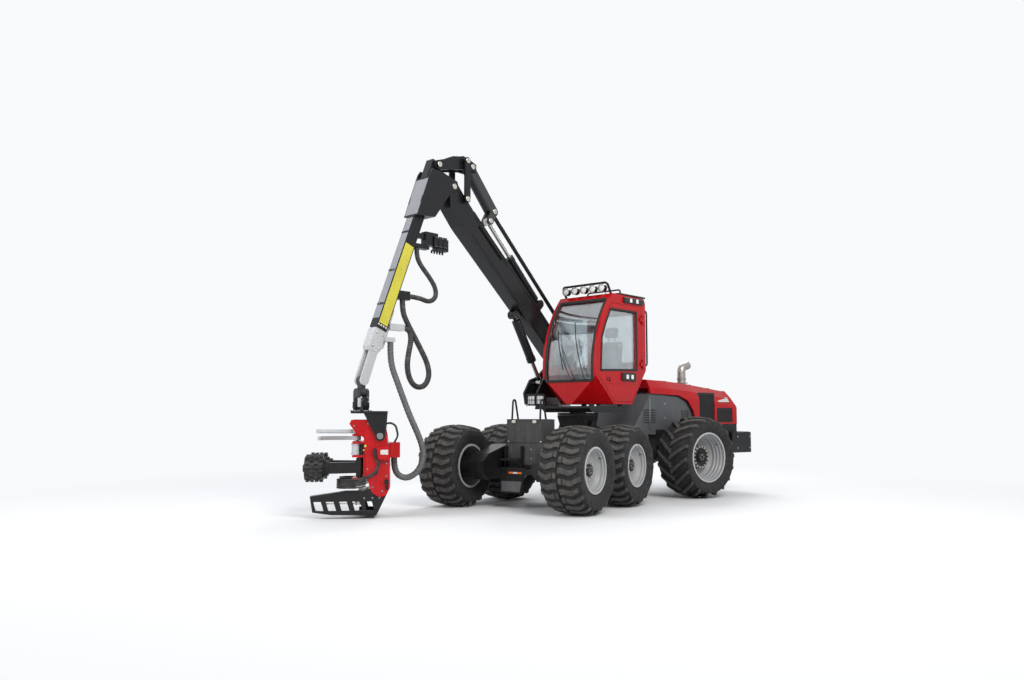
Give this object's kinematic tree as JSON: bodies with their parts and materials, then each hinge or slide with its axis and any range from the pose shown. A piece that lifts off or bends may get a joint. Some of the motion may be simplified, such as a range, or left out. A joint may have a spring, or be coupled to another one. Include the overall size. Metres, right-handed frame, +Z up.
{
  "type": "wheeled forestry harvester",
  "caption": "Articulated wheeled forestry harvester with a levelling cab, a jointed crane and a felling head that saws, delimbs and feeds stems.",
  "frame": {"origin": "on the ground, under the middle of the machine's bounding box as it stands", "axes": "+X forward along the front frame, +Y to the machine's left, +Z up"},
  "size_m": [8.9604, 4.6642, 5.9398],
  "materials": {
    "red_paint": "gloss",
    "black_paint": "satin",
    "dark_grey_paint": "satin",
    "grey_paint": "satin",
    "pale_steel": "satin",
    "chrome_rod": "polished",
    "bare_steel": "brushed",
    "tyre_rubber": "matte",
    "hose_rubber": "matte",
    "cab_glass": "clear",
    "seat_fabric": "matte",
    "black_plastic": "matte"
  },
  "bodies": {
    "front": {"front_frame": "dark_grey_paint", "tool_box": "dark_grey_paint", "ladder": "dark_grey_paint"},
    "bogie_left": {"bogie_left": "dark_grey_paint"},
    "bogie_right": {"bogie_right": "dark_grey_paint"},
    "rear": {"rear_frame": "dark_grey_paint", "rear_axle": "dark_grey_paint", "engine_hood": "red_paint", "side_panels": "grey_paint", "grilles": "black_plastic", "counterweight": "dark_grey_paint", "exhaust_stack": "bare_steel", "engine_block": "grey_paint"},
    "levelling": {"levelling_frame": "dark_grey_paint"},
    "turret": {"slew_platform": "dark_grey_paint", "cab_shell": "red_paint", "cab_windows": "cab_glass", "seat": "seat_fabric", "lamp_bar": "black_paint"},
    "door": {"cab_door": "red_paint", "door_window": "cab_glass"},
    "boom": {"main_boom": "black_paint"},
    "jib": {"jib": "black_paint", "valve_boxes": "black_paint", "hose_short": "hose_rubber", "hose_loop": "hose_rubber"},
    "extension": {"jib_extension": "pale_steel", "hose_head": "hose_rubber"},
    "rocker": {"rocker": "black_paint"},
    "top_link": {"top_link": "black_paint"},
    "push_link": {"push_link": "dark_grey_paint"},
    "stay": {"stay": "black_paint"},
    "jib_ram_barrel": {"jib_ram_barrel": "black_paint"},
    "jib_ram_rod": {"jib_ram_rod": "chrome_rod"},
    "lift_ram_barrel": {"lift_ram_barrel": "black_paint"},
    "lift_ram_rod": {"lift_ram_rod": "chrome_rod"},
    "hanger": {"hanger_link": "dark_grey_paint"},
    "rotator": {"rotator": "dark_grey_paint"},
    "bracket": {"tilt_bracket": "black_paint"},
    "head": {"head_frame": "red_paint", "saw_box": "black_paint"},
    "knife_left": {"knife_left": "pale_steel"},
    "knife_right": {"knife_right": "pale_steel"},
    "feed_arm_left": {"feed_arm_left": "black_paint"},
    "feed_arm_right": {"feed_arm_right": "black_paint"},
    "roller_left": {"feed_roller_left": "black_paint"},
    "roller_right": {"feed_roller_right": "black_paint"},
    "saw_bar": {"saw_bar": "bare_steel"},
    "wheel_front_left": {"tyre_front_left": "tyre_rubber", "rim_front_left": "grey_paint"},
    "wheel_front_right": {"tyre_front_right": "tyre_rubber", "rim_front_right": "grey_paint"},
    "wheel_middle_left": {"tyre_middle_left": "tyre_rubber", "rim_middle_left": "grey_paint"},
    "wheel_middle_right": {"tyre_middle_right": "tyre_rubber", "rim_middle_right": "grey_paint"},
    "wheel_rear_left": {"tyre_rear_left": "tyre_rubber", "rim_rear_left": "grey_paint"},
    "wheel_rear_right": {"tyre_rear_right": "tyre_rubber", "rim_rear_right": "grey_paint"}
  },
  "joints": [
    {"name": "bogie_left_rock", "type": "hinge", "parent": "front", "child": "bogie_left", "pos_m": [0.915, 0.645, 0.8], "axis": [0, 1, 0], "range_deg": [-15, 15]},
    {"name": "bogie_right_rock", "type": "hinge", "parent": "front", "child": "bogie_right", "pos_m": [0.915, -0.555, 0.8], "axis": [0, 1, 0], "range_deg": [-15, 15]},
    {"name": "wheel_front_left_spin", "type": "hinge", "parent": "bogie_left", "child": "wheel_front_left", "pos_m": [1.665, 1.195, 0.675], "axis": [0, 1, 0], "continuous": true},
    {"name": "wheel_front_right_spin", "type": "hinge", "parent": "bogie_right", "child": "wheel_front_right", "pos_m": [1.665, -1.105, 0.675], "axis": [0, 1, 0], "continuous": true},
    {"name": "wheel_middle_left_spin", "type": "hinge", "parent": "bogie_left", "child": "wheel_middle_left", "pos_m": [0.165, 1.195, 0.675], "axis": [0, 1, 0], "continuous": true},
    {"name": "wheel_middle_right_spin", "type": "hinge", "parent": "bogie_right", "child": "wheel_middle_right", "pos_m": [0.165, -1.105, 0.675], "axis": [0, 1, 0], "continuous": true},
    {"name": "wheel_rear_left_spin", "type": "hinge", "parent": "rear", "child": "wheel_rear_left", "pos_m": [-1.90192, 1.74812, 0.74], "axis": [0.342, 0.9397, 0], "continuous": true},
    {"name": "wheel_rear_right_spin", "type": "hinge", "parent": "rear", "child": "wheel_rear_right", "pos_m": [-2.68856, -0.41317, 0.74], "axis": [0.342, 0.9397, 0], "continuous": true},
    {"name": "articulation", "type": "hinge", "parent": "front", "child": "rear", "pos_m": [-0.585, 0.045, 0.83], "axis": [0, 0, 1], "range_deg": [-20, 60]},
    {"name": "levelling_tilt", "type": "hinge", "parent": "front", "child": "levelling", "pos_m": [-0.485, 0.045, 1.35], "axis": [0, 1, 0], "range_deg": [-8, 12]},
    {"name": "slewing", "type": "hinge", "parent": "levelling", "child": "turret", "pos_m": [-0.485, 0.045, 1.49], "axis": [0, 0, 1], "range_deg": [-100, 120]},
    {"name": "cab_door_hinge", "type": "hinge", "parent": "turret", "child": "door", "pos_m": [-1.21104, 1.02395, 2.85], "axis": [0, 0, -1], "range_deg": [-85, 0]},
    {"name": "boom_lift", "type": "hinge", "parent": "turret", "child": "boom", "pos_m": [-1.0584, -0.61546, 2.5], "axis": [-0.1736, -0.9848, 0], "range_deg": [-30, 33]},
    {"name": "jib_swing", "type": "hinge", "parent": "boom", "child": "jib", "pos_m": [1.90587, -1.13815, 5.35], "axis": [0.1736, 0.9848, 0], "range_deg": [-95, 8]},
    {"name": "jib_telescope", "type": "slide", "parent": "jib", "child": "extension", "axis": [-0.3596, 0.0634, 0.931], "range_m": [-1.5, 0], "deforming": ["hose_loop"]},
    {"name": "rocker_pivot", "type": "hinge", "parent": "boom", "child": "rocker", "pos_m": [1.63997, -1.09126, 5.18], "axis": [0.1736, 0.9848, 0], "range_deg": [-57.1, 4.9]},
    {"name": "top_link_pivot", "type": "hinge", "parent": "rocker", "child": "top_link", "pos_m": [1.63997, -1.09126, 5.85], "axis": [0.1736, 0.9848, 0], "range_deg": [-2.3, 26.5]},
    {"name": "push_link_pivot", "type": "hinge", "parent": "top_link", "child": "push_link", "pos_m": [1.44301, -1.05653, 5.8], "axis": [0.1736, 0.9848, 0], "range_deg": [-2.2, 25.9]},
    {"name": "stay_pivot", "type": "hinge", "parent": "turret", "child": "stay", "pos_m": [-1.45232, -0.546, 2.86], "axis": [-0.1736, -0.9848, 0], "range_deg": [-30, 33]},
    {"name": "jib_ram_pivot", "type": "hinge", "parent": "boom", "child": "jib_ram_barrel", "pos_m": [-0.37691, -0.73563, 3.588], "axis": [0.1736, 0.9848, 0], "range_deg": [-0.48, 0.05]},
    {"name": "jib_ram_slide", "type": "slide", "parent": "jib_ram_barrel", "child": "jib_ram_rod", "axis": [0.6989, -0.1232, 0.7045], "range_m": [-0.642, 0.055]},
    {"name": "lift_ram_pivot", "type": "hinge", "parent": "boom", "child": "lift_ram_barrel", "pos_m": [0.28586, -0.85249, 3.325], "axis": [-0.1736, -0.9848, 0], "range_deg": [-0.61, 0.67]},
    {"name": "lift_ram_slide", "type": "slide", "parent": "lift_ram_barrel", "child": "lift_ram_rod", "axis": [-0.5097, 0.0899, -0.8556], "range_m": [-0.378, 0.416]},
    {"name": "hanger_swing", "type": "hinge", "parent": "extension", "child": "hanger", "pos_m": [3.62929, -1.44203, 2.03], "axis": [-0.1736, -0.9848, 0], "range_deg": [-27, 45], "deforming": ["hose_head"]},
    {"name": "cross_swing", "type": "hinge", "parent": "hanger", "child": "rotator", "pos_m": [3.62929, -1.44203, 1.85], "axis": [0.9848, -0.1736, 0], "range_deg": [-25, 25], "deforming": ["hose_head"]},
    {"name": "rotator_spin", "type": "hinge", "parent": "rotator", "child": "bracket", "pos_m": [3.62929, -1.44203, 1.56], "axis": [0, 0, 1], "range_deg": [-180, 180], "deforming": ["hose_head"]},
    {"name": "head_tilt", "type": "hinge", "parent": "bracket", "child": "head", "pos_m": [3.43645, -1.21222, 1.2], "axis": [0.766, 0.6428, 0], "range_deg": [0, 100], "deforming": ["hose_head"]},
    {"name": "knife_left_close", "type": "hinge", "parent": "head", "child": "knife_left", "pos_m": [3.83638, -1.34658, 1.2], "axis": [0, 0, -1], "range_deg": [0, 45]},
    {"name": "feed_arm_left_swing", "type": "hinge", "parent": "head", "child": "feed_arm_left", "pos_m": [3.78249, -1.31347, 0.74], "axis": [0, 0, 1], "range_deg": [-8, 25]},
    {"name": "roller_left_spin", "type": "hinge", "parent": "feed_arm_left", "child": "roller_left", "pos_m": [4.26775, -1.68954, 0.74], "axis": [0.6428, -0.766, 0], "continuous": true},
    {"name": "knife_right_close", "type": "hinge", "parent": "head", "child": "knife_right", "pos_m": [3.49932, -1.62941, 1.2], "axis": [0, 0, 1], "range_deg": [0, 45]},
    {"name": "feed_arm_right_swing", "type": "hinge", "parent": "head", "child": "feed_arm_right", "pos_m": [3.47608, -1.57059, 0.74], "axis": [0, 0, -1], "range_deg": [-8, 25]},
    {"name": "roller_right_spin", "type": "hinge", "parent": "feed_arm_right", "child": "roller_right", "pos_m": [3.76216, -2.11378, 0.74], "axis": [0.6428, -0.766, 0], "continuous": true},
    {"name": "saw_swing", "type": "hinge", "parent": "head", "child": "saw_bar", "pos_m": [3.78632, -1.31026, 0.216], "axis": [0, 0, 1], "range_deg": [-80, 0]}
  ],
  "couplings": [
    {"joint": "rocker_pivot", "follows": "jib_swing", "ratio": 0.6},
    {"joint": "top_link_pivot", "follows": "jib_swing", "ratio": -0.278},
    {"joint": "push_link_pivot", "follows": "jib_swing", "ratio": -0.272},
    {"joint": "jib_ram_pivot", "follows": "jib_swing", "ratio": 0.005},
    {"joint": "jib_ram_slide", "follows": "jib_swing", "m_per_rad": 0.386},
    {"joint": "stay_pivot", "follows": "boom_lift", "ratio": 0.99},
    {"joint": "lift_ram_pivot", "follows": "boom_lift", "ratio": 0.02},
    {"joint": "lift_ram_slide", "follows": "boom_lift", "m_per_rad": 0.72}
  ]
}
